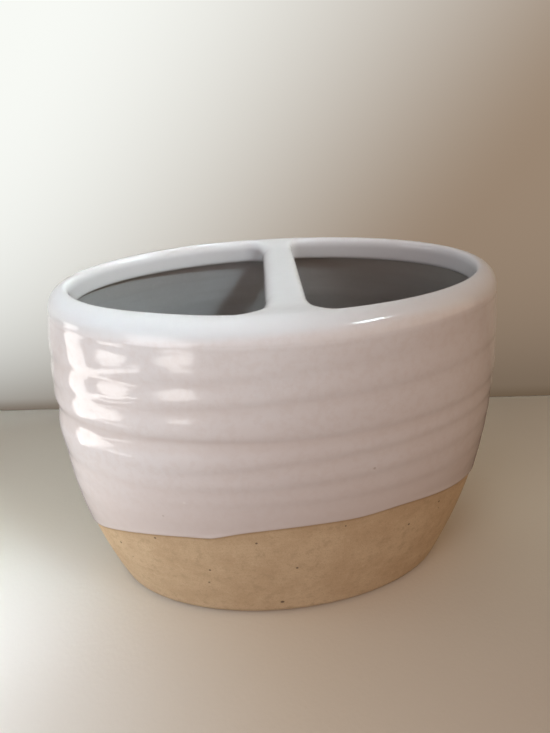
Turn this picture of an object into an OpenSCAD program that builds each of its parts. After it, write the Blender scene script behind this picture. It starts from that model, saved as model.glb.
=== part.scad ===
// Oval stoneware toothbrush holder: a ringed clay body with a bridged mouth, dipped in glaze
// Millimetres, +Z up, +X along the oval, -Y to the front; the origin is the middle of the foot, on the table

/* [Body] */
// Length of the glazed body at its belly, end to end
body_l = 118; // [104:1:136]
// Depth of the glazed body at its belly, front to back
body_d = 64; // [56:1:76]
// Height from the table to the crest of the lip
body_h = 92; // [82:1:110]
// How far the foot draws in from the belly at each end
foot_in = 9.5; // [4:0.5:13]
// How far the neck draws in from the belly at each end
neck_in = 3.2; // [1:0.2:6]
// Height of the belly, where the oval is longest
belly_z = 54; // [40:1:64]
// Fullness of the side between the foot and the belly
side_power = 2.2; // [1.6:0.1:3]
// Thickness of the clay wall at the belly
wall_t = 4; // [3:0.5:6]
// Thickness of the clay floor
floor_t = 5; // [4:0.5:8]
// Radius of the corner inside, where the floor meets the wall
corner_r = 6; // [3:0.5:9]

/* [Foot] */
// Height of the foot ring under the floor
foot_h = 1.5; // [1.5:0.5:3]
// Width of the foot ring
foot_w = 7; // [5:0.5:11]
// Radius of the outer edge that the body stands on
foot_edge_r = 1.2; // [0.5:0.1:1.4]

/* [Throwing rings] */
// Depth of the deepest groove between two rings, at the ends of the oval
ring_depth = 0.45; // [0:0.05:0.9]
// Distance over which a groove fades into the ring beside it
ring_reach = 2.4; // [1.6:0.1:3.2]

/* [Lip] */
// Height of the lip, from the neck to the crest
lip_h = 6; // [5:0.5:8]
// How far the lip stands in over the glazed wall
lip_over = 0.5; // [0.3:0.1:2]
// How much wider the lip is at the front and back than at the ends
lip_more = 1.1; // [0:0.1:2]
// Drop of the rounded edge on the mouth's side of the crest
mouth_edge_h = 1.4; // [0.8:0.2:3]

/* [Bridge] */
// Width of the bridge at its middle
bridge_w = 9; // [7:0.5:14]
// How far the middle of the bridge lies to the right of the middle of the mouth
bridge_x = 1.5; // [-4:0.5:4]
// Radius of the fillets where the bridge runs into the lip
bridge_fillet = 4.5; // [2:0.5:7]
// How far the top of the bridge lies below the crest
bridge_drop = 0.5; // [0.3:0.1:1.5]
// How far the underside of the bridge lies above that of the lip
bridge_lift = 0.3; // [0.2:0.1:1.5]

/* [Glaze] */
// Thickness of the glaze, measured along the oval
glaze_t = 0.5; // [0.4:0.1:0.8]
// Height of the edge of the glaze above the table, at the body's axis
dip_z = 25; // [22:1:34]
// Slope of that edge from front down to back, in degrees
dip_front_tilt = 20; // [0:1:22]
// Slope of that edge from right down to left, in degrees
dip_side_tilt = 3.7; // [-4:0.1:6]

/* [Hidden] */

// Height of each groove as a share of the neck's height, and its depth as a share of ring_depth
groove_z_shares = [0.93, 0.85, 0.73, 0.655, 0.575, 0.51, 0.43];
groove_depth_shares = [0.4, 0.75, 1, 0.75, 0.6, 0.45, 0.25];
// Where the crest runs, as a share of the way in from the lip's outer side to the mouth
crest_share = 0.85;
// Power of the curve from the belly in to the neck
neck_power = 2;
// Squareness of the bridge's cross-section, where 2 is an ellipse
bridge_power = 3;
// Steps of the ringed side, of the smooth hollow, of its corner, of a quarter curve, of the lip's oval
// and of the bridge's section
side_steps = 48;
hollow_steps = 16;
corner_steps = 6;
arc_steps = 6;
lip_steps = 72;
strap_steps = 20;
// Facets of the turned solids, and the angle of each of their halves
round_steps = 96;
half_turn = 180;
// Overrun of every cut past the face that it goes through
over = 1;

// Heights of the floor's two faces and of the neck
floor_z = foot_h + floor_t;
neck_z = body_h - lip_h;
// Half lengths of the glazed belly, neck and foot
belly_r = body_l / 2;
neck_r = belly_r - neck_in;
foot_r = belly_r - foot_in - glaze_t;
// Depth of the oval over its length, outside and in the hollow
depth_ratio = body_d / body_l;
hollow_ratio = (body_d / 2 - glaze_t - wall_t) / (belly_r - glaze_t - wall_t);
// Full width of the lip from its outer side to the mouth, at the ends and at the front and back
lip_w = wall_t + 2 * glaze_t + lip_over;
wide_lip_w = lip_w + lip_more;
// Half axes of the mouth
mouth_a = neck_r - lip_w;
mouth_b = depth_ratio * neck_r - wide_lip_w;
// Half length of the hollow, inside its glaze, at the neck
liner_r = neck_r - wall_t - 2 * glaze_t;
// Thickness of the bridge
bridge_t = lip_h - bridge_drop - bridge_lift;
// Height of the middle of the bridge's section
bridge_z = body_h - bridge_drop - bridge_t / 2;

// Half length of the smooth glazed side at a height
function side_r(z) = z < belly_z
  ? belly_r - foot_in * pow(1 - z / belly_z, side_power)
  : belly_r - neck_in * pow((z - belly_z) / (neck_z - belly_z), neck_power);

// Depth of the grooves at a height, all of them added together
function groove(z) = ring_depth
  * groove_depth_shares * [for (share = groove_z_shares) exp(-pow((z - share * neck_z) / ring_reach, 2))];

// How far a quarter round of radius r that ends at height low stands in from its side at height z
function quarter_in(z, low, r) = z < low + r ? r - sqrt(max(0, r * r - pow(low + r - z, 2))) : 0;

// Half length of the outside, less a skin, with its grooves and its standing edge
function outer_r(z, skin) = side_r(z) - skin - groove(z) - quarter_in(z, 0, foot_edge_r);

// Half length of the hollow, less a skin of glaze, with its floor at height low
function hollow_r(z, low, skin) = side_r(z) - glaze_t - wall_t - skin - quarter_in(z, low, corner_r - skin);

// Evenly spaced heights from low to high, and heights that follow a quarter round from low up
function heights(low, high, steps) = [for (i = [0 : steps]) low + (high - low) * i / steps];
function corner_heights(low, r) = [for (i = [0 : corner_steps - 1])
  low + r * (1 - cos(90 * i / corner_steps))];

// Profiles of the hollow, from the middle of its floor out and up to the neck
function hollow_profile(low, skin) = [for (z = concat(
  corner_heights(low, corner_r - skin),
  heights(low + corner_r - skin, neck_z, hollow_steps))) [hollow_r(z, low, skin), z]];

// A solid turned about the axis, in two halves, from [half length, height] points and drawn in to an oval
module turned(points, ratio) {
  for (turn = [0, half_turn]) scale([1, ratio, 1]) rotate([0, 0, turn])
    rotate_extrude(angle = half_turn, $fn = round_steps) polygon(points);
}

// The outside of the clay between two heights, as one solid
module clay_outside(low, high, steps) {
  turned(concat([[0, low]], [for (z = heights(low, high, steps)) [outer_r(z, glaze_t), z]], [[0, high]]),
    depth_ratio);
}

// One ring of points on an oval of half axes a and b at height z
function oval(a, b, z) = [for (i = [0 : lip_steps - 1])
  let (t = 360 * i / lip_steps) [a * cos(t), b * sin(t), z]];

// The oval at a share of the way in across the lip, at height z, less a skin
function lip_oval(share, z, skin) = oval(
  (neck_r - skin) * (1 - share) + (mouth_a + skin) * share,
  depth_ratio * (neck_r - skin) * (1 - share) + (mouth_b + skin) * share,
  z);

// Ovals over the top of the lip, less a skin: up the outer side to the crest, then down to the mouth
function lip_top(skin) = concat(
  [for (i = [0 : arc_steps]) let (t = 90 * i / arc_steps)
    lip_oval(crest_share * (1 - cos(t)), neck_z + (lip_h - skin) * sin(t), skin)],
  [for (i = [1 : arc_steps]) let (t = 90 * i / arc_steps)
    lip_oval(crest_share + (1 - crest_share) * sin(t), body_h - skin - mouth_edge_h * (1 - cos(t)), skin)]);

// A solid ring from ovals that are listed around its cross-section
module looped(ovals) {
  n = len(ovals);
  polyhedron([for (ring = ovals) each ring], [for (j = [0 : n - 1], i = [0 : lip_steps - 1])
    let (k = (j + 1) % n, m = (i + 1) % lip_steps,
      a = j * lip_steps + i, b = k * lip_steps + i, c = k * lip_steps + m, d = j * lip_steps + m)
    each [[a, b, c], [a, c, d]]]);
}

// The lip as one solid, less a skin, down to height low
module lip_solid(skin, low) {
  looped(concat(lip_top(skin), [lip_oval(1, low, skin), lip_oval(0, low, skin)]));
}

// A value's power, with the value's sign kept
function signed_pow(v, p) = sign(v) * pow(abs(v), p);

// The bridge's outline in plan, less a skin, as [place along Y, half width], from the middle to the back
function strap_half(skin) = concat(
  [for (i = [0 : arc_steps]) let (t = 90 * i / arc_steps, r = bridge_fillet + skin)
    [mouth_b - bridge_fillet + r * sin(t), bridge_w / 2 + bridge_fillet - r * cos(t)]],
  [[mouth_b + wide_lip_w * (1 - crest_share), bridge_w / 2 + bridge_fillet]]);

// The same outline from front to back
function strap_outline(skin) = let (half = strap_half(skin), n = len(half))
  concat([for (i = [n - 1 : -1 : 0]) [-half[i][0], half[i][1]]], half);

// The bridge as one solid, less a skin, with its ends buried in the lip
module strap(skin) {
  outline = strap_outline(skin);
  n = len(outline);
  half_t = bridge_t / 2 - skin;
  polyhedron(
    [for (place = outline, i = [0 : strap_steps - 1]) let (t = 360 * i / strap_steps)
      [bridge_x + place[1] * signed_pow(cos(t), 2 / bridge_power), place[0],
        bridge_z + half_t * signed_pow(sin(t), 2 / bridge_power)]],
    concat(
      [[for (i = [strap_steps - 1 : -1 : 0]) i]],
      [[for (i = [0 : strap_steps - 1]) (n - 1) * strap_steps + i]],
      [for (j = [0 : n - 2], i = [0 : strap_steps - 1])
        let (m = (i + 1) % strap_steps,
          a = j * strap_steps + i, b = j * strap_steps + m, c = a + strap_steps, d = b + strap_steps)
        each [[a, b, d], [a, d, c]]]));
}

// The space under the edge of the glaze, tilted as the body was when it was dipped
module under_dip() {
  reach = body_l + body_h;
  translate([0, 0, dip_z]) rotate([-dip_front_tilt, -dip_side_tilt, 0])
    translate([-reach, -reach, -reach]) cube([2 * reach, 2 * reach, reach]);
}

// Unglazed ring that the body stands on
module clay_foot_ring() {
  color("#A58762") difference() {
    clay_outside(0, foot_h, corner_steps * 2);
    translate([0, 0, -over]) scale([1, (depth_ratio * foot_r - foot_w) / (foot_r - foot_w), 1])
      cylinder(r = foot_r - foot_w, h = foot_h + 2 * over, $fn = round_steps);
  }
}

// Slab that closes the body at the bottom
module clay_floor() {
  color("#A98B66") clay_outside(foot_h, floor_z, corner_steps);
}

// Ringed wall on the slab, hollow up to the neck
module clay_wall() {
  color("#AC8E69") difference() {
    clay_outside(floor_z, neck_z, side_steps);
    turned(concat([[0, floor_z - over], [hollow_r(floor_z, floor_z, 0), floor_z - over]],
      hollow_profile(floor_z, 0), [[hollow_r(neck_z, floor_z, 0), neck_z + over], [0, neck_z + over]]),
      hollow_ratio);
  }
}

// Rounded lip round the mouth
module clay_lip() {
  color("#B09370") lip_solid(glaze_t, neck_z);
}

// Strap across the mouth that parts it into two
module clay_bridge() {
  color("#B49774") difference() {
    strap(glaze_t);
    lip_solid(glaze_t, neck_z);
  }
}

// Glaze on the outside, from the tilted edge of the dip up to the neck
module glaze_outside() {
  color("#DDD2CE") difference() {
    turned(concat(
      [for (z = heights(floor_z, neck_z, side_steps)) [outer_r(z, 0), z]],
      [for (z = heights(neck_z, floor_z, side_steps)) [outer_r(z, glaze_t), z]]), depth_ratio);
    under_dip();
  }
}

// Glaze over the lip, open where the bridge's clay runs in
module glaze_lip() {
  clay_side = lip_top(glaze_t);
  color("#E4E2E2") difference() {
    looped(concat(
      lip_top(0),
      [lip_oval(1, neck_z - glaze_t, 0)],
      [for (z = [neck_z - glaze_t, neck_z]) oval(liner_r, hollow_ratio * liner_r, z)],
      [lip_oval(1, neck_z, glaze_t)],
      [for (i = [len(clay_side) - 1 : -1 : 0]) clay_side[i]]));
    strap(glaze_t);
  }
}

// Glaze all round the bridge
module glaze_bridge() {
  color("#E8E6E4") difference() {
    strap(0);
    strap(glaze_t);
    lip_solid(0, neck_z - glaze_t);
  }
}

// Glaze lining of the hollow, over the floor and up the wall to the neck
module glaze_inside() {
  clay_side = hollow_profile(floor_z, 0);
  free_side = hollow_profile(floor_z + glaze_t, glaze_t);
  color("#8E9091") turned(concat([[0, floor_z]], clay_side,
    [for (i = [len(free_side) - 1 : -1 : 0]) free_side[i]], [[0, floor_z + glaze_t]]), hollow_ratio);
}

clay_foot_ring();
clay_floor();
clay_wall();
clay_lip();
clay_bridge();
glaze_outside();
glaze_lip();
glaze_bridge();
glaze_inside();
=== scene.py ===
import math

import bpy
import numpy as np
from mathutils import Matrix


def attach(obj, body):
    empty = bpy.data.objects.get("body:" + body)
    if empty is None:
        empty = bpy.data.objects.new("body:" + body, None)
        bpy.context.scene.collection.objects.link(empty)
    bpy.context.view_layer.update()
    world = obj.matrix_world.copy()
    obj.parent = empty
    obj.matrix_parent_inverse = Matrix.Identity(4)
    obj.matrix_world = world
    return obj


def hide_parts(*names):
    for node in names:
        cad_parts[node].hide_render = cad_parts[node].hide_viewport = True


# Oval stoneware toothbrush holder: turned clay body, dipped glaze coat, bridged mouth and glazed hollow.
# Lengths are millimetres up to the point where a mesh is made; the axes are those of the CAD model.

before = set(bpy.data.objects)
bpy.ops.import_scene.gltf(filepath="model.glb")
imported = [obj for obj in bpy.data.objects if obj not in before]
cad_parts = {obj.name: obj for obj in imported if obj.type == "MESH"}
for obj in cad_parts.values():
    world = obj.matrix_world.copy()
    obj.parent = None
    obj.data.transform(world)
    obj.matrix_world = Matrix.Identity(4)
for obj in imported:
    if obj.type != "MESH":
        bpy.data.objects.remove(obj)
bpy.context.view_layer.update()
MM = 0.001
SEED = 11

# Driving sizes that the looks share with the CAD model
BODY_L, BODY_D, BODY_H = 118.0, 64.0, 92.0
BELLY_Z, SIDE_POWER, FOOT_IN, NECK_IN = 54.0, 2.2, 9.5, 3.2
WALL_T, GLAZE_T, FLOOR_Z, CORNER_R = 4.0, 0.5, 6.5, 6.0
FOOT_H, FOOT_W, FOOT_EDGE_R = 1.5, 7.0, 1.2
LIP_H, LIP_SPARE, LIP_MORE, CREST_SHARE, MOUTH_EDGE_H = 6.0, 0.5, 1.1, 0.85, 1.4

# Sizes that follow from them
BELLY_R, RATIO = BODY_L / 2, BODY_D / BODY_L
NECK_R, NECK_Z = BELLY_R - NECK_IN, BODY_H - LIP_H
HOLLOW_RATIO = (BODY_D / 2 - GLAZE_T - WALL_T) / (BELLY_R - GLAZE_T - WALL_T)
LIP_W = WALL_T + 2 * GLAZE_T + LIP_SPARE
MOUTH_A, MOUTH_B = NECK_R - LIP_W, RATIO * NECK_R - LIP_W - LIP_MORE
COAT_T = GLAZE_T * 0.85

# The throwing rings are one spiral groove: (turns from the front, height, depth). The left end is at 0.79
SPIRAL = np.array([
    (0, 17.0, 0), (1, 23.5, 0.02), (2, 30.0, 0.04), (3, 37.0, 0.1), (4, 43.7, 0.18), (4.79, 47.5, 0.3),
    (5, 49.4, 0.26), (5.79, 51.0, 0.12), (6, 56.3, 0.3), (6.79, 61.44, 0.8), (7, 63.0, 0.42),
    (7.79, 68.55, 0.35), (8, 73.1, 0.3), (8.79, 75.58, 0.42), (9, 79.8, 0.16), (10, 91.0, 0)])
# How far a groove reaches (down, up). At the left end each ring swells slowly and ends in a short ledge
REACH, LEFT_REACH = (3.2, 1.5), (3.75, 2.35)
# Off the left end the groove wanders up and down by this much, and its depth varies by this share
GROOVE_WANDER, GROOVE_UNEVEN = 1.2, 0.08
# The fold where the side meets the lip: (degrees from the front, height, depth), and its reach up and down
FOLD = np.array([
    (-180, 85.5, 0.1), (-110, 85.6, 0.16), (-90, 86.4, 0.2), (-67, 87.4, 0.24), (-50, 88.0, 0.2),
    (-30, 88.3, 0.14), (-15, 89.0, 0.07), (0, 89.7, 0.03), (30, 90.0, 0.03), (54, 89.0, 0.06),
    (68, 87.9, 0.09), (90, 86.3, 0.1), (110, 85.6, 0.1), (180, 85.5, 0.1)])
FOLD_REACH = 0.8
# The dent at the left of the neck: its depth, its height above the neck and its reach up and down
NECK_DENT, NECK_DENT_RISE, NECK_DENT_REACH = 0.1, 0.2, 1.3
# The slow swell of the hand-turned side, and how far it draws the side in on the whole
SWELL, SWELL_IN = 0.06, 0.13

# The edge of the dip: height on the axis, slope to the right, slope to the back and wander at the back
DIP_Z, DIP_RIGHT, DIP_BACK, DIP_WANDER = 24.98, 0.065, -0.362, 0.45
# Its wobble on the side that shows: (place to the right, rise), softened over these steps to the side
DIP_WOBBLE = np.array([
    (-59, 0), (-53.4, -0.6), (-45.9, 0.5), (-37.6, 0.65), (-29, 0.15), (-24.5, -0.35), (-20.7, -1.05),
    (-17, -0.3), (-12.4, 0.25), (-3.8, 0.3), (6.2, 0), (16, -0.55), (22.5, -0.15), (28.9, 0.35),
    (36.6, 0.05), (44.6, -0.25), (51.5, 0.25), (59, 0)])
DIP_SOFTEN = (-3, -1.5, 0, 1.5, 3)
# The bead along that edge: how far it stands out, its rise and reach, and the rise of the edge's rounding
BEAD, BEAD_RISE, BEAD_REACH, EDGE_ROUND = 0.06, 0.7, 0.6, 0.55
# The drip in the bead: how far it stands out, its place to the right and its reach
DRIP, DRIP_X, DRIP_REACH = 0.25, -21.0, 2.2

# The mouth stands a little back and right in the lip, narrows downward, and is flat at its left front
MOUTH_SHIFT_X, MOUTH_SHIFT_Y, MOUTH_LEAN = 0.2, 0.35, 0.05
FLAT_X, FLAT_REACH, FLAT_DEPTH = -30.0, 11.0, 0.7
# The lip: how far its top lies below the full height and wanders, and its least and greatest width
LIP_SAG, TOP_WANDER, LIP_WIDTHS = 0.12, 0.06, (4.9, 7.8)

# The bridge: its middle on the axis, slant to the back, half width, and how much that narrows to the back
BRIDGE_X, BRIDGE_SLANT, BRIDGE_HALF_W, BRIDGE_TAPER = 1.5, 0.056, 4.5, 0.02
# How far its crown dips below the lip, and the width and height of its rounded edges, (right, left)
BRIDGE_DIP, BRIDGE_EDGE_W, BRIDGE_EDGE_H = 0.55, (1.8, 3.0), (1.8, 2.5)
# The underside, (lip, bridge): its height, and the width and height of its rounded edges
UNDER_Z, UNDER_W, UNDER_H = (NECK_Z, NECK_Z + 0.6), (0.6, 2.6), (0.6, 2.2)
# Fillets of the bridge into the lip, (left, right): their reach along the bridge and along the lip
BACK_ALONG_BRIDGE, BACK_ALONG_LIP = (5.0, 2.0), (5.0, 2.0)
FRONT_ALONG_BRIDGE, FRONT_ALONG_LIP = (11.0, 10.0), (8.0, 6.5)

# Coat and mouth cross at a rise above the neck: the mouth draws in below it by a slope, and the coat above it
TUCK_RISE, TUCK_SLOPE, COAT_TOP_Z, COAT_ROWS = 1.2, 0.06, NECK_Z + 2.6, 118
# How deep the coat's hidden back lies in the bare clay's surface
COAT_BACK = 0.35
# The lining: its top, the half length of its floor, and the size and pitch of its rings
LINING_TOP_Z, LINING_FLOOR_R, LINING_RING, LINING_PITCH = NECK_Z + 1.2, 44.0, 0.12, 8.5
# The bare base: the rounding of the recess's corner and of the foot's inner edge
RECESS_R, FOOT_INNER_R = 0.5, 0.6
# Bare clay ends below this height. Above it the clay lies further in, and in the hollow behind the lining
CLAY_SHOWN_Z, CLAY_COVERED_IN, CLAY_BEHIND_LINING = 44.0, 1.6, 0.3
# Values that stand for far from the edge of the glaze: on the foot, and on the lip
FAR_BELOW, FAR_ABOVE = 30.0, 60.0

COLUMNS = 360


# Surfaces

def smooth_step(v):
    v = np.clip(v, 0.0, 1.0)
    return v * v * (3 - 2 * v)


def mix(a, b, share):
    return a + (b - a) * share


def waves(angle, height, count, seed):
    """A smooth wander of about -1 to 1 round the body, from a few seeded waves"""
    rng = np.random.default_rng(SEED + seed)
    total = 0.0
    for _ in range(count):
        turns, phase, rise = rng.integers(1, 6), rng.uniform(0, 2 * math.pi), rng.uniform(-0.09, 0.09)
        total = total + np.sin(turns * angle + phase + rise * height)
    return total / math.sqrt(count)


def side_r(z):
    """Half length of the smooth glazed side at a height"""
    low = BELLY_R - FOOT_IN * np.power(np.clip(1 - z / BELLY_Z, 0, None), SIDE_POWER)
    high = BELLY_R - NECK_IN * np.square(np.clip((z - BELLY_Z) / (NECK_Z - BELLY_Z), 0, None))
    return np.where(z < BELLY_Z, low, high)


def side_slope(z, step=0.05):
    return (side_r(z + step) - side_r(z - step)) / (2 * step)


# Share of the way round the body by angle, from the length of the oval's arc
FINE = np.linspace(-math.pi, math.pi, 2881)
STEP_LENGTH = np.hypot(BELLY_R * np.cos(FINE), BELLY_R * RATIO * np.sin(FINE))
ARC = np.concatenate([[0], np.cumsum((STEP_LENGTH[1:] + STEP_LENGTH[:-1]) / 2)])
ARC = ARC / ARC[-1] - 0.5


def turn_share(angle):
    """Share of the way round, from -0.5 to 0.5, where 0 is the front and the right side is positive"""
    return np.interp((angle + math.pi) % (2 * math.pi) - math.pi, FINE, ARC)


def turn_tables():
    """Height and depth of each turn of the spiral groove by angle, from the back round by the front"""
    share, tables = turn_share(FINE), []
    right_fade = 1 - 0.5 * smooth_step((np.sin(FINE) - 0.3) / 0.6)
    for turn in range(int(SPIRAL[-1, 0]) + 1):
        at = turn + share
        wander = (1 - LEFT_TABLE) * np.sin(2 * math.pi * at) * np.sin(1.9 * at + 0.5)
        uneven = right_fade + GROOVE_UNEVEN * (1 - LEFT_TABLE) * waves(FINE, turn * 9.0, 3, 2)
        tables.append((np.interp(at, SPIRAL[:, 0], SPIRAL[:, 1]) - GROOVE_WANDER * wander,
                       np.interp(at, SPIRAL[:, 0], SPIRAL[:, 2]) * uneven))
    return tables


def fold(angle, column):
    """Height or depth of the fold under the lip, as column 1 or 2 of its table"""
    return np.interp(np.degrees(angle), FOLD[:, 0], FOLD[:, column])


def groove(angle, z):
    """Depth of the spiral groove, of the dent in the neck and of the fold under the lip"""
    place = (angle + math.pi) % (2 * math.pi) - math.pi
    left = np.interp(place, FINE, LEFT_TABLE)
    reach_down, reach_up = (mix(a, b, left) for a, b in zip(REACH, LEFT_REACH))
    low, high = np.min(z) - 4 * LEFT_REACH[1], np.max(z) + 4 * LEFT_REACH[0]
    depth = np.zeros(np.broadcast(angle, z).shape)
    for level, deep in TURN_TABLES:
        if level.max() > low and level.min() < high:
            rise = z - np.interp(place, FINE, level)
            reach = np.where(rise > 0, reach_up, reach_down)
            depth = depth + np.interp(place, FINE, deep) * np.exp(-np.square(rise / reach))
    dent = NECK_DENT * left * np.exp(-np.square((z - NECK_Z - NECK_DENT_RISE) / NECK_DENT_REACH))
    crease = fold(place, 2) * np.exp(-np.square((z - fold(place, 1)) / FOLD_REACH))
    return depth + dent + crease


# 1 at the left end, 0 from the middle of the front round by the right to the back
LEFT_TABLE = smooth_step((-15 - np.degrees(FINE)) / 35) * smooth_step((np.degrees(FINE) + 150) / 35)
TURN_TABLES = turn_tables()


def unevenness(angle, z):
    """Slow swell of the hand-turned side, gone at the foot and at the lip"""
    swell = SWELL * waves(angle, z, 5, 4) - SWELL_IN
    return swell * smooth_step(z / 12) * smooth_step((NECK_Z + 1 - z) / 8)


def side_point(angle, z, out):
    """Points of the side, moved out along its normal by out, with the grooves cut in"""
    radius = side_r(z)
    x, y = radius * np.sin(angle), -RATIO * radius * np.cos(angle)
    nx, ny, nz = np.sin(angle), -np.cos(angle) / RATIO, -side_slope(z)
    length = np.sqrt(nx * nx + ny * ny + nz * nz)
    move = (out - groove(angle, z) + unevenness(angle, z)) / length
    return np.stack([x + nx * move, y + ny * move, z + nz * move], axis=-1)


def dip_height(angle):
    """Height of the edge of the glaze round the body"""
    z = np.full_like(angle, DIP_Z)
    front = smooth_step(2 * np.cos(angle))
    for _ in range(6):
        radius = side_r(z)
        x, y = radius * np.sin(angle), -RATIO * radius * np.cos(angle)
        seen = sum(np.interp(x + step, *DIP_WOBBLE.T) for step in DIP_SOFTEN) / len(DIP_SOFTEN)
        wobble = mix(DIP_WANDER * waves(angle, 0, 4, 5), seen, front)
        z = DIP_Z + DIP_RIGHT * x + DIP_BACK * y + wobble
    return z


def oval_depth(x, y, a, b):
    """How far a point lies inside an oval of half axes a and b"""
    f = np.hypot(x / a, y / b) + 1e-6
    return (1 - f) * f / (np.hypot(x / a ** 2, y / b ** 2) + 1e-6)


def mouth_ring(x, y, z):
    """How far a point lies outside the oval of the mouth"""
    flat = FLAT_DEPTH * np.exp(-np.square((x - FLAT_X) / FLAT_REACH)) * smooth_step(-y / 8)
    oval = oval_depth(x - MOUTH_SHIFT_X, y - MOUTH_SHIFT_Y, MOUTH_A, MOUTH_B)
    return flat + MOUTH_LEAN * (BODY_H - z) - oval


def shoulder_field(x, y, z):
    """Negative inside the lip's outer shoulder, with the way outside the mouth and the lip's width and top"""
    angle = np.arctan2(x, -y / RATIO)
    radius = np.where(z < NECK_Z, side_r(z), NECK_R)
    out = oval_depth(x, y, radius, RATIO * radius) - groove(angle, z) + unevenness(angle, z)
    ring = mouth_ring(x, y, z)
    width = np.clip(oval_depth(x, y, NECK_R, RATIO * NECK_R) + ring, *LIP_WIDTHS)
    top = lip_top(angle)
    reach = CREST_SHARE * width
    across = np.clip(reach - out, 0, None) / reach
    up = np.clip(z - NECK_Z, 0, None) / (top - NECK_Z)
    return LIP_H * (np.hypot(across, up) - 1), ring, width, top


def lip_top(angle):
    return BODY_H - LIP_SAG + TOP_WANDER * waves(angle, 0, 3, 6)


def rounded(inner, edge_w, beyond, edge_h):
    """Negative inside a rounded edge, for a point this deep inside its side and this high beyond its start"""
    across = np.clip(edge_w - inner, 0, None) / edge_w
    return edge_h * (np.hypot(across, np.clip(beyond, 0, None) / edge_h) - 1)


def mouth_field(x, y, z):
    """Negative inside the lip and its bridge"""
    outside, ring, width, top = shoulder_field(x, y, z)
    centre = BRIDGE_X + BRIDGE_SLANT * y
    strap = BRIDGE_HALF_W - BRIDGE_TAPER * y - np.abs(x - centre)
    # Shares of the way to the front of the mouth, and to the left side of the bridge
    front, left = smooth_step((8 - y) / 16), smooth_step((centre + 1.5 - x) / 3)

    def reach(back, ahead):
        return mix(mix(back[1], back[0], left), mix(ahead[1], ahead[0], left), front)

    along_bridge = reach(BACK_ALONG_BRIDGE, FRONT_ALONG_BRIDGE)
    along_lip = reach(BACK_ALONG_LIP, FRONT_ALONG_LIP)
    in_lip, in_strap = ring / along_bridge, strap / along_lip
    by_lip, by_strap = np.clip(1 + in_lip, 0, None), np.clip(1 + in_strap, 0, None)
    scale = (along_bridge * by_lip + along_lip * by_strap + 1e-6) / (by_lip + by_strap + 1e-6)
    inner = scale * (np.hypot(by_lip, by_strap) - np.maximum(1, -np.maximum(in_lip, in_strap)))

    # 0 on the lip and 1 well out over the mouth, where there is only the bridge
    bridge = smooth_step((1.6 - ring) / 7)
    crown = mix(top, BODY_H - LIP_SAG - BRIDGE_DIP, bridge)
    edge_w = mix((1 - CREST_SHARE) * width, mix(*BRIDGE_EDGE_W, left), bridge)
    edge_h = mix(MOUTH_EDGE_H, mix(*BRIDGE_EDGE_H, left), bridge)
    over = rounded(inner, edge_w, z - crown + edge_h, edge_h)
    # The skin reaches lower where the lip covers it
    under_z = mix(*UNDER_Z, bridge) - 0.9 * smooth_step((ring - 2.2) / 1.2)
    under_w, under_h = mix(*UNDER_W, bridge), mix(*UNDER_H, bridge)
    under = rounded(inner, under_w, under_z + under_h - z, under_h)
    return np.maximum(np.maximum(outside, over), under)


# Meshes

def gradient(field, points, reach=0.02):
    """Slope of a field at points, from its values a reach to either side"""
    parts = []
    for axis in range(3):
        step = np.zeros(3)
        step[axis] = reach
        parts.append(field(*(points + step).T) - field(*(points - step).T))
    return np.stack(parts, axis=1) / (2 * reach)


def settle(field, points, rounds, limit=0.3):
    """Moves points onto the surface field = 0"""
    for _ in range(rounds):
        slope = gradient(field, points)
        size = np.maximum(np.sum(slope * slope, axis=1), 0.04)
        move = -(field(*points.T) / size)[:, None] * slope
        length = np.linalg.norm(move, axis=1, keepdims=True)
        points = points + move * np.minimum(1, limit / np.maximum(length, 1e-9))
    return points


def net(field, low, high, step):
    """Points and quads of the surface field = 0, one point in each grid cell that it crosses"""
    counts = [int(math.ceil((h - l) / step)) + 1 for l, h in zip(low, high)]
    axes = [l + step * np.arange(n) for l, n in zip(low, counts)]
    grid = np.meshgrid(*axes, indexing="ij")
    inside = field(*grid) < 0
    corners = sum(inside[i:counts[0] - 1 + i, j:counts[1] - 1 + j, k:counts[2] - 1 + k].astype(int)
                  for i in (0, 1) for j in (0, 1) for k in (0, 1))
    cells = np.argwhere((corners > 0) & (corners < 8))
    ids = np.full(corners.shape, -1)
    ids[tuple(cells.T)] = np.arange(len(cells))
    points = np.array(low) + step * (cells + 0.5)
    quads = []
    unit = np.eye(3, dtype=int)
    for axis in range(3):
        a, b = unit[(axis + 1) % 3], unit[(axis + 2) % 3]
        first, last = (inside[tuple(slice(s, n - 1 + s) if i == axis else slice(1, n - 1)
                                    for i, n in enumerate(counts))] for s in (0, 1))
        for start, order in ((first & ~last, 1), (~first & last, -1)):
            at = np.argwhere(start) + a + b
            ring = np.stack([ids[tuple((at - s).T)] for s in (a + b, b, 0 * a, a)], axis=1)
            quads.append(ring[:, ::order])
    return points, np.concatenate(quads)


def relax(field, points, quads, rounds):
    """Evens out the points over the surface"""
    centre = quads.reshape(-1)
    for _ in range(rounds):
        total = np.zeros_like(points)
        count = np.zeros(len(points))
        for shift in (1, 3):
            other = np.roll(quads, shift, axis=1).reshape(-1)
            for axis in range(3):
                total[:, axis] += np.bincount(centre, points[other, axis], len(points))
            count += np.bincount(centre, minlength=len(points))
        points = mix(points, total / count[:, None], 0.5)
        points = settle(field, points, 2)
    return settle(field, points, 4)


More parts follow.
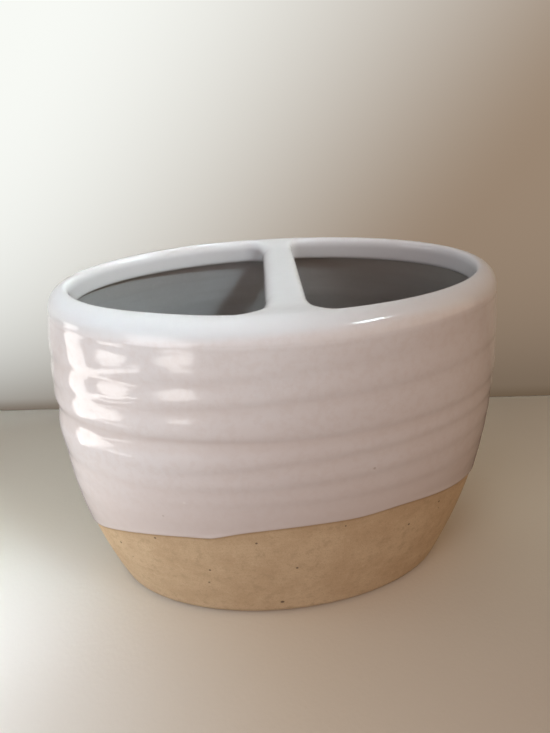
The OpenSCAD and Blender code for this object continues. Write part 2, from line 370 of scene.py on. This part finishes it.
def make_piece(name, points, faces, material, nodes, values=None):
    """A smooth-shaded mesh piece that rides on the root body and stands for CAD nodes"""
    mesh = bpy.data.meshes.new(name)
    mesh.from_pydata((np.asarray(points) * MM).tolist(), [], [list(f) for f in faces])
    mesh.validate()
    mesh.polygons.foreach_set("use_smooth", [True] * len(mesh.polygons))
    for key, numbers in (values or {}).items():
        attribute = mesh.attributes.new(key, "FLOAT", "POINT")
        attribute.data.foreach_set("value", np.asarray(numbers, np.float32).reshape(-1))
    mesh.update()
    piece = bpy.data.objects.new(name, mesh)
    bpy.context.scene.collection.objects.link(piece)
    mesh.materials.append(material)
    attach(piece, "root")
    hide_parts(*nodes)


def ring_faces(rows, columns, closed=False):
    """Quads between rows of a closed ring grid, whose rows run upward on an outer side"""
    i = np.arange(columns)
    m = (i + 1) % columns
    bands = []
    for j in range(rows if closed else rows - 1):
        k = (j + 1) % rows
        bands.append(np.stack([j * columns + i, j * columns + m, k * columns + m, k * columns + i], axis=1))
    return np.concatenate(bands).tolist()


def capped(rows):
    """Points and faces of a ring grid with a point at each end on the axis"""
    count, columns = rows.shape[:2]
    points = rows.reshape(-1, 3)
    first, last = rows[0].mean(axis=0), rows[-1].mean(axis=0)
    faces = ring_faces(count, columns)
    low, high = len(points), len(points) + 1
    for i in range(columns):
        m = (i + 1) % columns
        faces.append([low, m, i])
        faces.append([high, (count - 1) * columns + i, (count - 1) * columns + m])
    return np.concatenate([points, [first], [last]]), faces


ANGLE = np.linspace(0, 2 * math.pi, COLUMNS, endpoint=False)


def oval_row(radius, ratio, z):
    """One row of a ring grid: a level oval with a half length and a ratio of depth to length"""
    x, y = radius * np.sin(ANGLE), -ratio * radius * np.cos(ANGLE)
    return np.stack([x, y, np.full(COLUMNS, float(z))], axis=-1)


def make_clay(material):
    """Bare foot, base and side, and the wall that the glaze hides"""
    dip = dip_height(ANGLE)
    foot_r = BELLY_R - FOOT_IN - GLAZE_T
    inner_a, inner_b = foot_r - FOOT_W, RATIO * foot_r - FOOT_W
    quarter = np.radians([0, 30, 60, 90])
    rows = []
    for share in (0.02, 0.2, 0.4, 0.6, 0.8, 0.93, 0.985):
        rows.append(oval_row(inner_a * share, inner_b / inner_a, FOOT_H + 0.02 * math.sin(9 * share)))
    for t in quarter:
        rows.append(oval_row(inner_a - RECESS_R * (1 - math.sin(t)) * 0.4, inner_b / inner_a,
                             FOOT_H - RECESS_R * (1 - math.cos(t))))
    edge_ratio = (inner_b + FOOT_INNER_R / 2) / (inner_a + FOOT_INNER_R / 2)
    for t in quarter:
        rows.append(oval_row(inner_a + FOOT_INNER_R * (1 - math.cos(t)), edge_ratio,
                             FOOT_INNER_R * (1 - math.sin(t))))
    for share in (0.3, 0.6, 0.85):
        rows.append(mix(rows[-1], oval_row(foot_r - FOOT_EDGE_R, RATIO, 0), share))
    for t in np.radians([0, 15, 30, 45, 60, 75]):
        z = FOOT_EDGE_R * (1 - math.cos(t))
        side = side_point(ANGLE, np.full(COLUMNS, z), -COAT_T)
        draw = FOOT_EDGE_R * (1 - math.sin(t))
        side[:, 0] -= draw * np.sin(ANGLE)
        side[:, 1] += draw * np.cos(ANGLE)
        rows.append(side)
    first_side = len(rows)
    for z in np.arange(FOOT_EDGE_R, CLAY_SHOWN_Z, 0.5):
        rows.append(side_point(ANGLE, np.full(COLUMNS, z), -COAT_T))
    for z in np.arange(CLAY_SHOWN_Z + 2, NECK_Z - 1, 3.0):
        rows.append(side_point(ANGLE, np.full(COLUMNS, z), -CLAY_COVERED_IN))
    for z in np.append(np.arange(NECK_Z - 2, 8, -5.0), FLOOR_Z - CLAY_BEHIND_LINING):
        rows.append(oval_row(float(side_r(z)) - GLAZE_T - WALL_T + CLAY_BEHIND_LINING, HOLLOW_RATIO, z))
    corner = rows[-1]
    for share in (0.93, 0.5, 0.02):
        rows.append(corner * np.array([share, share, 1]))
    rows = np.array(rows)
    edge = np.broadcast_to(dip, rows.shape[:2]) - rows[:, :, 2]
    edge = np.where(np.arange(len(rows))[:, None] < first_side, FAR_BELOW, edge)
    points, faces = capped(rows)
    edge = np.concatenate([edge.reshape(-1), [FAR_BELOW, FAR_BELOW]])
    make_piece("clay_body", points, faces, material, ["clay_foot_ring", "clay_floor", "clay_wall"],
               {"below_glaze": edge})


def onto_shoulder(row, level):
    """Moves a row in or out, at its height, onto the lip's outer shoulder"""
    stretch = 0.0005
    for _ in range(8):
        here = shoulder_field(*row[:, :2].T, level)[0]
        ahead = shoulder_field(*(row[:, :2] * (1 + stretch)).T, level)[0]
        row[:, :2] *= (1 - np.clip(here / ((ahead - here) / stretch), -0.01, 0.01))[:, None]


def make_coat(material):
    """Glaze on the outside, from its thick rounded edge up to the lip"""
    dip = dip_height(ANGLE)
    rows, levels = [], []
    bead = BEAD * (1 + 0.5 * waves(ANGLE, 0, 4, 7))
    drip = DRIP * np.exp(-np.square((BELLY_R * np.sin(ANGLE) - DRIP_X) / DRIP_REACH)) * (np.cos(ANGLE) > 0)
    edge_rises = (0, 0.03, 0.1, 0.2, 0.34, 0.5, 0.7, 0.95, 1.25, 1.6, 2.0, 2.5)
    for rise in edge_rises:
        skin = COAT_T * math.sqrt(1 - (1 - min(rise, EDGE_ROUND) / EDGE_ROUND) ** 2)
        swell = (bead + drip) * math.exp(-((rise - BEAD_RISE) / BEAD_REACH) ** 2) * min(1, rise / 0.2)
        rows.append(side_point(ANGLE, dip + rise, skin - COAT_T + swell))
        levels.append(np.full(COLUMNS, rise))
    for share in np.linspace(0, 1, COAT_ROWS)[1:]:
        z = mix(dip + edge_rises[-1], NECK_Z - 1.5, share)
        rows.append(side_point(ANGLE, z, 0))
        levels.append(z - dip)
    neck, shoulder = np.arange(NECK_Z - 1.2, NECK_Z + 1.3, 0.25), np.arange(NECK_Z + 1.5, COAT_TOP_Z, 0.35)
    for z in np.concatenate([neck, shoulder]):
        level = np.full(COLUMNS, z)
        row = side_point(ANGLE, np.minimum(level, NECK_Z), 0)
        row[:, 2] = z
        onto_shoulder(row, level)
        tuck = TUCK_SLOPE * max(0.0, z - NECK_Z - TUCK_RISE)
        row[:, :2] *= (1 - tuck / np.hypot(row[:, 0], row[:, 1]))[:, None]
        rows.append(row)
        levels.append(level - dip)
    # The back of the coat, down again to its edge
    for share in (1, 0.75, 0.5, 0.25, 0.05, 0.0):
        z = mix(dip + 0.4, NECK_Z - 1, share)
        rows.append(side_point(ANGLE, z, -COAT_T - (COAT_BACK if 0 < share else 0.1)))
        levels.append(z - dip)
    rows = np.array(rows)
    angle = np.broadcast_to(ANGLE, rows.shape[:2])
    # Groove depth, which also sets the glaze's painted shade in the grooves
    deep = groove(angle, rows[:, :, 2])
    above = rows[:, :, 2] - fold((angle + math.pi) % (2 * math.pi) - math.pi, 1)
    make_piece("glaze_coat", rows.reshape(-1, 3), ring_faces(len(rows), COLUMNS, closed=True), material,
               ["glaze_outside"],
               {"above_edge": np.array(levels), "groove": deep, "above_fold": above})


def make_mouth(material):
    """Glazed lip and bridge in one skin"""
    def field(x, y, z):
        tuck = TUCK_SLOPE * np.clip(NECK_Z + TUCK_RISE - z, 0, None)
        outside = shoulder_field(x, y, z)[0]
        return np.maximum(mouth_field(x, y, z), outside + tuck)

    wide, deep = BELLY_R + 1, BELLY_R * RATIO + 1
    points, quads = net(field, (-wide, -deep, NECK_Z - 2.4), (wide, deep, BODY_H + 1), 0.5)
    points = relax(field, settle(field, points, 6), quads, 5)
    x, y, z = points.T
    # Over the crest, the depth inside the shoulder stands for how far in a point lies from the fold; deeper
    # in, it sets the painted shade down the lip's inner side
    inside = -shoulder_field(x, y, z)[0]
    over_crest, over_fold = 5 + 15 * smooth_step((inside - 1) / 2), z - fold(np.arctan2(x, -y / RATIO), 1)
    make_piece("glaze_mouth", points, quads.tolist(), material,
               ["glaze_lip", "glaze_bridge", "clay_lip", "clay_bridge"],
               {"above_edge": np.full(len(points), FAR_ABOVE), "groove": np.zeros(len(points)),
                "above_fold": np.where(inside > 0.8, over_crest, over_fold)})


def make_lining(material):
    """Glaze over the floor and wall of the hollow"""
    def inner(z, skin):
        """Half length of the hollow at a height, under a skin of glaze"""
        radius = float(side_r(z)) - GLAZE_T - WALL_T - skin
        corner = CORNER_R - skin
        low = FLOOR_Z + skin
        if z < low + corner:
            radius -= corner - math.sqrt(max(0, corner ** 2 - (low + corner - z) ** 2))
        return radius

    rows = [oval_row(LINING_FLOOR_R * share, HOLLOW_RATIO, FLOOR_Z) for share in (0.02, 0.5, 0.9)]
    for z in (9, 13, 30, 50, 70, 84, LINING_TOP_Z):
        rows.append(oval_row(inner(z, 0), HOLLOW_RATIO, z))
    rounding = 1 - np.cos(np.radians(np.arange(88, 1, -6)))
    corner = FLOOR_Z + GLAZE_T + (CORNER_R - GLAZE_T) * rounding
    for z in np.concatenate([np.arange(LINING_TOP_Z, 14, -0.6), corner]):
        fade = smooth_step((84 - z) / 8) * smooth_step((z - 14) / 6)
        rings = LINING_RING * math.sin(z * 2 * math.pi / LINING_PITCH) * fade
        rows.append(oval_row(inner(z, GLAZE_T) + rings, HOLLOW_RATIO, z))
    base = rows[-1]
    for share in np.linspace(0.97, 0.02, 24):
        row = base * np.array([share, share, 1])
        row[:, 2] = FLOOR_Z + GLAZE_T + LINING_RING * math.sin(share * 16)
        rows.append(row)
    points, faces = capped(np.array(rows))
    make_piece("glaze_lining", points, faces, material, ["glaze_inside"])


# Materials

class Nodes:
    """Shorthand for building one material's nodes"""

    def __init__(self, name):
        self.material = bpy.data.materials.new(name)
        self.material.use_nodes = True
        self.tree = self.material.node_tree
        self.tree.nodes.clear()
        self.out = self.tree.nodes.new("ShaderNodeOutputMaterial")

    def add(self, kind, inputs=None, **settings):
        node = self.tree.nodes.new(kind)
        for key, value in settings.items():
            setattr(node, key, value)
        for key, value in (inputs or {}).items():
            if isinstance(value, bpy.types.NodeSocket):
                self.tree.links.new(value, node.inputs[key])
            else:
                node.inputs[key].default_value = value
        return node

    def math(self, operation, a, b=0.0):
        return self.add("ShaderNodeMath", {0: a, 1: b}, operation=operation).outputs[0]

    def place(self, scale=(1000, 1000, 1000)):
        """Object coordinates in millimetres, or drawn out where the scale is smaller"""
        coordinates = self.add("ShaderNodeTexCoord").outputs["Object"]
        return self.add("ShaderNodeMapping", {"Vector": coordinates, "Scale": scale}).outputs[0]

    def noise(self, vector, scale, detail=3.0, roughness=0.5):
        return self.add("ShaderNodeTexNoise", {"Vector": vector, "Scale": scale, "Detail": detail,
                                               "Roughness": roughness}).outputs["Fac"]

    def ramp(self, value, low, high, from_value=0.0, to_value=1.0):
        """A value spread smoothly from one range to another"""
        return self.add("ShaderNodeMapRange", {"Value": value, "From Min": low, "From Max": high,
                                               "To Min": from_value, "To Max": to_value},
                        interpolation_type="SMOOTHSTEP").outputs[0]

    def blend(self, share, a, b):
        """Colour b over colour a by a share. The node's sockets for the three are 0, 6 and 7"""
        node = self.add("ShaderNodeMix", data_type="RGBA")
        for index, value in ((0, share), (6, a), (7, b)):
            if isinstance(value, bpy.types.NodeSocket):
                self.tree.links.new(value, node.inputs[index])
            else:
                node.inputs[index].default_value = value if index == 0 else (*value, 1)
        return node.outputs[2]

    def layers(self, colour, *rows):
        """A colour under layers: (value, range of the value, share of the layer at its ends, colour)"""
        for value, (low, high), (first, last), tint in rows:
            colour = self.blend(self.ramp(value, low, high, first, last), colour, tint)
        return colour

    def attribute(self, name):
        return self.add("ShaderNodeAttribute", attribute_name=name).outputs["Fac"]

    def spot(self, place, centre, radius, soft=0.4):
        """1 in a round spot about a point, 0 outside it"""
        away = self.add("ShaderNodeVectorMath", {0: place, 1: centre}, operation="DISTANCE")
        return self.ramp(away.outputs["Value"], radius * soft, radius, 1.0, 0.0)

    def specks(self, place, scale, radii, picked, spots):
        """Specks in those cells of a random pattern that are picked, and spots set one by one"""
        cells = self.add("ShaderNodeTexVoronoi", {"Vector": place, "Scale": scale, "Randomness": 1.0})
        pick = self.add("ShaderNodeTexWhiteNoise", {"Vector": cells.outputs["Position"]}).outputs["Value"]
        specks = self.math("MULTIPLY", self.ramp(cells.outputs["Distance"], *radii, 1, 0),
                           self.ramp(pick, *picked))
        for centre, radius in spots:
            specks = self.math("MAXIMUM", specks, self.spot(place, centre, radius))
        return specks

    def bump(self, height, strength, depth):
        """Relief of a depth in millimetres"""
        settings = {"Height": height, "Strength": strength, "Distance": depth * MM}
        return self.add("ShaderNodeBump", settings).outputs[0]

    def finish(self, shader):
        self.tree.links.new(shader.outputs[0], self.out.inputs["Surface"])
        return self.material


# Specks and a pale spot that the photograph shows: (place, radius)
CLAY_SPECKS = (((-35.5, -24.0, 30.6), 0.5), ((-3.2, -27.3, 5.2), 0.75), ((0.7, -29.7, 20.6), 0.5),
               ((31.4, -25.3, 28.0), 0.45), ((-9.7, -30.3, 31.6), 0.45), ((13.1, -30.1, 34.4), 0.35),
               ((-22.8, -26.2, 14.7), 0.4), ((-43.3, -18.0, 18.6), 0.3))
GLAZE_SPECKS = (((19.5, -30.1, 52.3), 0.5), ((-32.3, -26.5, 40.1), 0.5))
GLAZE_PALE_SPOT = ((-26.5, -28.4, 45.4), 0.6)


def clay_material():
    """Sandy fired clay, darker just under the glaze, with painted contact shade at the foot"""
    n = Nodes("bare_clay")
    mm = n.place()
    turned = n.place((60, 60, 1000))
    sand, cloud = n.noise(mm, 2.6, 4, 0.65), n.noise(mm, 0.11, 3)
    lines, grit = n.noise(turned, 1.1, 3, 0.6), n.noise(mm, 6.5, 2)
    blotch, edge = n.noise(mm, 0.42, 4, 0.65), n.attribute("below_glaze")
    foot = n.add("ShaderNodeSeparateXYZ", {0: mm}).outputs[2]
    specks = n.specks(mm, 0.17, (0.035, 0.07), (0.55, 0.6), CLAY_SPECKS)
    colour = n.layers(
        n.blend(n.ramp(cloud, 0.35, 0.65), (0.64, 0.485, 0.305), (0.71, 0.56, 0.365)),
        (blotch, (0.30, 0.50), (0.5, 0), (0.50, 0.37, 0.225)),
        (blotch, (0.52, 0.72), (0, 0.4), (0.78, 0.64, 0.44)),
        (sand, (0.30, 0.52), (0.55, 0), (0.50, 0.365, 0.22)),
        (sand, (0.56, 0.76), (0, 0.5), (0.80, 0.67, 0.48)),
        (lines, (0.40, 0.60), (0, 0.14), (0.58, 0.43, 0.26)),
        (edge, (0.15, 1.1), (0.55, 0), (0.33, 0.205, 0.105)),
        (edge, (0.0, 5.0), (0.16, 0), (0.42, 0.29, 0.16)))
    colour = n.blend(n.math("MULTIPLY", specks, 0.85), colour, (0.115, 0.075, 0.05))
    # Painted contact shade, darker toward the foot
    colour = n.layers(colour, (foot, (0.4, 2.4), (0.5, 0), (0.27, 0.185, 0.11)))
    height = n.math("ADD", n.math("MULTIPLY", sand, 0.5), n.math("MULTIPLY", grit, 0.22))
    height = n.math("ADD", height, n.math("MULTIPLY", lines, 0.55))
    height = n.math("SUBTRACT", height, n.math("MULTIPLY", specks, 0.5))
    return n.finish(n.add("ShaderNodeBsdfPrincipled", {
        "Base Color": colour, "Roughness": n.ramp(sand, 0.3, 0.7, 0.78, 0.92),
        "Normal": n.bump(height, 0.55, 0.22), "Specular IOR Level": 0.35}))


def glaze_material():
    """Glossy glaze, thinner and warm near its edge, darker and warm in the grooves as painted shade, whiter
    and cool on the lip with a painted cool reflection, and grey past the crest down the lip's inner side as
    painted shade
    """
    n = Nodes("outer_glaze")
    thick, thin_glaze_and_shade, cool = (0.82, 0.79, 0.785), (0.72, 0.65, 0.615), (0.835, 0.82, 0.825)
    mm = n.place()
    level, deep, above = n.attribute("above_edge"), n.attribute("groove"), n.attribute("above_fold")
    cloud, mottle, peel = n.noise(mm, 0.045, 3), n.noise(mm, 0.5, 4, 0.6), n.noise(mm, 0.16, 2)
    colour = n.layers(
        n.blend(n.ramp(cloud, 0.35, 0.65), thick, cool),
        (mottle, (0.42, 0.66), (0, 0.22), thin_glaze_and_shade),
        # Painted shade, darker and warmer in the grooves
        (deep, (0.12, 0.5), (0, 0.35), thin_glaze_and_shade),
        # Whiter glaze on the lip, with a painted cool reflection of the sky
        (above, (-1.2, 0.9), (0, 0.85), (0.83, 0.86, 0.88)),
        # Painted shade, grey past the crest down the inner side of the lip and the sides of the bridge
        (above, (6, 20), (0, 0.5), (0.58, 0.575, 0.58)),
        (level, (0.1, 1.2), (0.45, 0), (0.56, 0.44, 0.34)),
        (level, (1, 24), (0.6, 0), thin_glaze_and_shade))
    specks = n.specks(mm, 0.1, (0.012, 0.034), (0.6, 0.65), GLAZE_SPECKS)
    colour = n.blend(n.math("MULTIPLY", specks, 0.4), colour, (0.33, 0.26, 0.21))
    pale = n.math("MULTIPLY", n.spot(mm, *GLAZE_PALE_SPOT), 0.5)
    colour = n.blend(pale, colour, (0.9, 0.88, 0.85))
    height = n.math("ADD", peel, n.math("MULTIPLY", mottle, 0.12))
    height = n.math("SUBTRACT", height, n.math("MULTIPLY", specks, 0.25))
    return n.finish(n.add("ShaderNodeBsdfPrincipled", {
        "Base Color": colour, "Roughness": n.ramp(mottle, 0.3, 0.7, 0.07, 0.12),
        "Normal": n.bump(height, 0.5, 0.25), "IOR": 1.5}))


def lining_material():
    """Glaze of the hollow, grey as painted shade, with faint rings round it, and browner to the right as
    painted shade
    """
    n = Nodes("inner_glaze")
    mm = n.place()
    turned = n.place((80, 80, 1000))
    cloud, lines, mottle = n.noise(mm, 0.05, 3), n.noise(turned, 0.35, 2), n.noise(mm, 0.7, 4)
    across = n.add("ShaderNodeSeparateXYZ", {0: mm}).outputs[0]
    colour = n.layers(
        # Painted shade: the grey stands for the pale outer glaze in the hollow's shade
        n.blend(n.ramp(cloud, 0.35, 0.65), (0.42, 0.425, 0.42), (0.47, 0.485, 0.485)),
        (lines, (0.4, 0.6), (0, 0.25), (0.37, 0.36, 0.35)),
        (mottle, (0.5, 0.7), (0, 0.15), (0.51, 0.52, 0.52)),
        # Painted shade, browner to the right
        (across, (-15, 45), (0, 0.45), (0.38, 0.325, 0.26)))
    height = n.math("ADD", lines, n.math("MULTIPLY", mottle, 0.2))
    return n.finish(n.add("ShaderNodeBsdfPrincipled", {
        "Base Color": colour, "Roughness": n.ramp(mottle, 0.3, 0.7, 0.16, 0.26),
        "Normal": n.bump(height, 0.4, 0.3), "IOR": 1.5}))


def floor_material():
    """Matt pale top whose shown colour carries painted light: bright and cool to the left, warm to the right,
    lighter at the right back and shaded at the left back. It throws back less than it shows
    """
    n = Nodes("floor_with_painted_light")
    mm = n.place()
    split = n.add("ShaderNodeSeparateXYZ", {0: mm})
    across, deep = split.outputs[0], split.outputs[1]
    # Painted light, bright and cool to the left, and painted shade, warm to the right
    colour = n.blend(n.ramp(across, -85, 15), (0.86, 0.90, 0.90), (0.79, 0.72, 0.60))
    # Painted light at the right back
    right = n.math("MULTIPLY", n.ramp(across, 15, 80), n.ramp(deep, -60, 10))
    colour = n.blend(right, colour, (0.95, 0.95, 0.80))
    # Painted shade at the left back
    left = n.math("MULTIPLY", n.ramp(across, 0, -40), n.ramp(deep, -40, 20))
    colour = n.blend(left, colour, (0.73, 0.74, 0.66))
    colour = n.blend(n.ramp(n.noise(mm, 0.012, 3), 0.35, 0.65, 0, 0.08), colour, (0.70, 0.66, 0.58))
    bounce = n.blend(n.ramp(across, -150, 130), (0.30, 0.285, 0.265), (0.23, 0.17, 0.125))
    colour = n.blend(n.add("ShaderNodeLightPath").outputs["Is Camera Ray"], bounce, colour)
    return n.finish(n.add("ShaderNodeBsdfPrincipled", {
        "Base Color": colour, "Roughness": 0.5, "Normal": n.bump(n.noise(mm, 0.8, 3), 0.15, 0.3),
        "Specular IOR Level": 0.25}))


def wall_material():
    """Matt wall with painted light, bright to the left, which glows with its colour for the camera and in
    reflections. The camera doesn't see it from behind
    """
    n = Nodes("wall_with_painted_light")
    mm = n.place()
    split = n.add("ShaderNodeSeparateXYZ", {0: mm})
    # Painted light: it darkens along a slant to the right, and toward the floor, where it is browner too
    height = n.math("MINIMUM", split.outputs[2], 160)
    slant = n.math("SUBTRACT", split.outputs[0], n.math("MULTIPLY", height, 0.753))
    colour = n.blend(n.ramp(slant, -185, 19), (0.945, 0.96, 0.92), (0.33, 0.245, 0.175))
    shade = n.math("SUBTRACT", 1.0, n.math("MULTIPLY", n.math("POWER", 0.9686, height), 0.69))
    colour = n.add("ShaderNodeVectorMath", {0: colour, "Scale": shade}, operation="SCALE").outputs[0]
    colour = n.blend(n.math("MULTIPLY", n.math("POWER", 0.931, height), 0.25), colour, (0.45, 0.33, 0.22))
    # A painted dark line of shade at its foot
    colour = n.blend(n.ramp(height, 0, 7, 0.5, 0), colour, (0.10, 0.065, 0.035))
    diffuse_with_painted_light = n.add("ShaderNodeBsdfDiffuse", {"Color": colour})
    # The painted light glows for camera and glossy rays
    shown = n.add("ShaderNodeEmission", {"Color": colour, "Strength": 1.0})
    clear = n.add("ShaderNodeBsdfTransparent")
    ray = n.add("ShaderNodeLightPath").outputs
    seen = n.math("MAXIMUM", n.math("MAXIMUM", ray["Is Camera Ray"], ray["Is Glossy Ray"]),
                  ray["Is Transmission Ray"])
    behind = n.math("MULTIPLY", n.add("ShaderNodeNewGeometry").outputs["Backfacing"], ray["Is Camera Ray"])
    front = n.add("ShaderNodeMixShader", {0: seen, 1: diffuse_with_painted_light.outputs[0], 2: shown.outputs[0]})
    return n.finish(n.add("ShaderNodeMixShader", {0: behind, 1: front.outputs[0], 2: clear.outputs[0]}))


# Stage, light and camera

# The camera in a frame turned by YAW about the vertical, from a fit of the body to the photograph
YAW, PITCH, ROLL = math.radians(5.494), math.radians(30.003), math.radians(-1.591)
SIDEWAYS, LIFT, DISTANCE, LOOK_Z = -0.86, 16.318, 172.779, 46.116
FOCAL_PIXELS, IMAGE_HEIGHT = 609.0, 733.0
# The wall behind, and the floor that runs on under it. The wall starts just above the floor
WALL_Y, FLOOR_PAST_WALL, WALL_GAP, STAGE_REACH = 80.0, 30.0, 0.5, 1500.0


def turn(v):
    """A vector from the camera's level frame to the object's axes"""
    x, y, z = v
    return np.array([x * math.cos(YAW) + y * math.sin(YAW), y * math.cos(YAW) - x * math.sin(YAW), z])


def placement(right, up, back, centre):
    """Matrix of an object whose own axes point right, up and back, at a point in millimetres"""
    rows = [[float(right[i]), float(up[i]), float(back[i]), float(centre[i]) * MM] for i in range(3)]
    return Matrix(rows + [[0, 0, 0, 1]])


def make_camera():
    ahead = np.array([0, math.cos(PITCH), -math.sin(PITCH)])
    right, up = np.array([1.0, 0, 0]), np.array([0, math.sin(PITCH), math.cos(PITCH)])
    place = np.array([0, 0, LOOK_Z]) - DISTANCE * ahead + SIDEWAYS * right + LIFT * up
    image_right = right * math.cos(ROLL) + up * math.sin(ROLL)
    image_up = up * math.cos(ROLL) - right * math.sin(ROLL)
    data = bpy.data.cameras.new("photo_camera")
    data.sensor_width = 36.0
    data.lens = FOCAL_PIXELS / IMAGE_HEIGHT * data.sensor_width
    data.clip_start, data.clip_end = 0.01, 20
    camera = bpy.data.objects.new("photo_camera", data)
    camera.matrix_world = placement(turn(image_right), turn(image_up), turn(-ahead), turn(place))
    bpy.context.scene.collection.objects.link(camera)
    bpy.context.scene.camera = camera


def make_plane(name, corners, material):
    """A flat piece of the stage, given in the camera's level frame"""
    mesh = bpy.data.meshes.new(name)
    mesh.from_pydata([tuple(float(v) * MM for v in c) for c in corners], [], [[0, 1, 2, 3]])
    mesh.materials.append(material)
    plane = bpy.data.objects.new(name, mesh)
    plane.rotation_euler = (0, 0, -YAW)
    bpy.context.scene.collection.objects.link(plane)


def make_light(name, centre, target, size, radiance, colour, spread=180, tilt=0, shape="RECTANGLE"):
    """A soft light at a point, turned to another, in millimetres. Spread is in degrees and tilt in radians"""
    data = bpy.data.lights.new(name, "AREA")
    data.shape = shape
    data.size, data.size_y = size[0] * MM, size[1] * MM
    area = data.size * data.size_y * (math.pi / 4 if shape == "ELLIPSE" else 1)
    data.energy = radiance * math.pi * area
    data.color = colour
    data.spread = math.radians(spread)
    light = bpy.data.objects.new(name, data)
    centre, target = np.array(centre, float), np.array(target, float)
    back = (centre - target) / np.linalg.norm(centre - target)
    side = np.cross([0, 0, 1.0], back) if abs(back[2]) < 0.99 else np.array([1.0, 0, 0])
    side /= np.linalg.norm(side)
    top = np.cross(back, side)
    side, top = (side * math.cos(tilt) + top * math.sin(tilt), top * math.cos(tilt) - side * math.sin(tilt))
    light.matrix_world = placement(side, top, back, centre)
    light.visible_camera = False
    bpy.context.scene.collection.objects.link(light)


def make_stage():
    left, right, front, back = -STAGE_REACH, STAGE_REACH, -STAGE_REACH, WALL_Y + FLOOR_PAST_WALL
    make_plane("floor", [(left, front, 0), (right, front, 0), (right, back, 0), (left, back, 0)],
               floor_material())
    make_plane("backdrop", [(left, WALL_Y, WALL_GAP), (right, WALL_Y, WALL_GAP),
                            (right, WALL_Y, STAGE_REACH), (left, WALL_Y, STAGE_REACH)], wall_material())


# Soft light of the room, as lobes: the direction that each comes from, its sharpness and its radiance
ROOM_LIGHT = (
    ((0, 0, 1), 0, (0.10, 0.10, 0.10)),
    ((0, -0.85, 0.4), 3, (0.23, 0.07, 0.06)),
    ((0.75, -0.65, 0.15), 4, (0.53, 0.40, 0.26)),
    ((1, -0.2, 0), 3, (0.68, 0.55, 0.38)),
)


def make_world():
    world = bpy.data.worlds.new("soft_room")
    world.use_nodes = True
    tree = world.node_tree
    direction = tree.nodes.new("ShaderNodeTexCoord").outputs["Generated"]

    def step(kind, operation, *inputs):
        node = tree.nodes.new(kind)
        node.operation = operation
        for index, value in inputs:
            if isinstance(value, bpy.types.NodeSocket):
                tree.links.new(value, node.inputs[index])
            else:
                node.inputs[index].default_value = value
        return node.outputs["Value" if operation in ("DOT_PRODUCT", "MAXIMUM", "POWER") else "Vector"]

    light = (0, 0, 0)
    for source, sharpness, radiance in ROOM_LIGHT:
        toward = np.array(source) / np.linalg.norm(source)
        facing = step("ShaderNodeVectorMath", "DOT_PRODUCT", (0, direction), (1, toward))
        lobe = step("ShaderNodeMath", "POWER", (0, step("ShaderNodeMath", "MAXIMUM", (0, facing), (1, 0))),
                    (1, sharpness))
        glow = step("ShaderNodeVectorMath", "SCALE", (0, radiance), ("Scale", lobe))
        light = step("ShaderNodeVectorMath", "ADD", (0, light), (1, glow))
    tree.links.new(light, tree.nodes["Background"].inputs["Color"])
    bpy.context.scene.world = world


def make_lights():
    cream = (1.0, 0.98, 0.95)
    make_light("low_window", (-130, -14.8, 47), (0, -14.8, 47), (28.4, 65.2), 4.5, cream, tilt=0.19)
    make_light("low_sill", (-130, -52, 30.3), (0, -52, 30.3), (54, 10.3), 5.5, cream)
    make_light("low_sill_end", (-130, -90, 30.5), (0, -90, 30.5), (30, 5), 6.0, cream)
    make_light("low_streak", (-130, -56, 16), (0, -56, 16), (62, 4.5), 5.0, cream, tilt=-0.35)
    make_light("far_window", (-209, -105, 17), (-38, -22, 79), (66, 24), 6.0, cream, shape="ELLIPSE")
    make_light("far_gleam", (-130, -184, 19), (-22, -29, 79), (60, 24), 5.5, cream, shape="ELLIPSE")
    make_light("window_high", (-170, -70, 230), (0, 0, 70), (130, 130), 0.27, (0.0, 0.67, 1.0))
    make_light("window_front", (-180, -200, 120), (0, 0, 60), (120, 120), 3.5, (1.0, 0.98, 1.0))
    make_light("room_top", (-40, -30, 330), (0, 0, 60), (200, 160), 1.08, (0.95, 0.99, 1.0))
    make_light("rim_beam", (116, -136, 288), (-50, -6, 83), (135, 16), 2.75, (0.78, 0.93, 1.0), 24)


make_camera()
make_stage()
make_world()
make_lights()
outer_glaze = glaze_material()
make_clay(clay_material())
make_coat(outer_glaze)
make_mouth(outer_glaze)
make_lining(lining_material())
bpy.context.scene.view_settings.view_transform = "Standard"

bpy.context.view_layer.update()
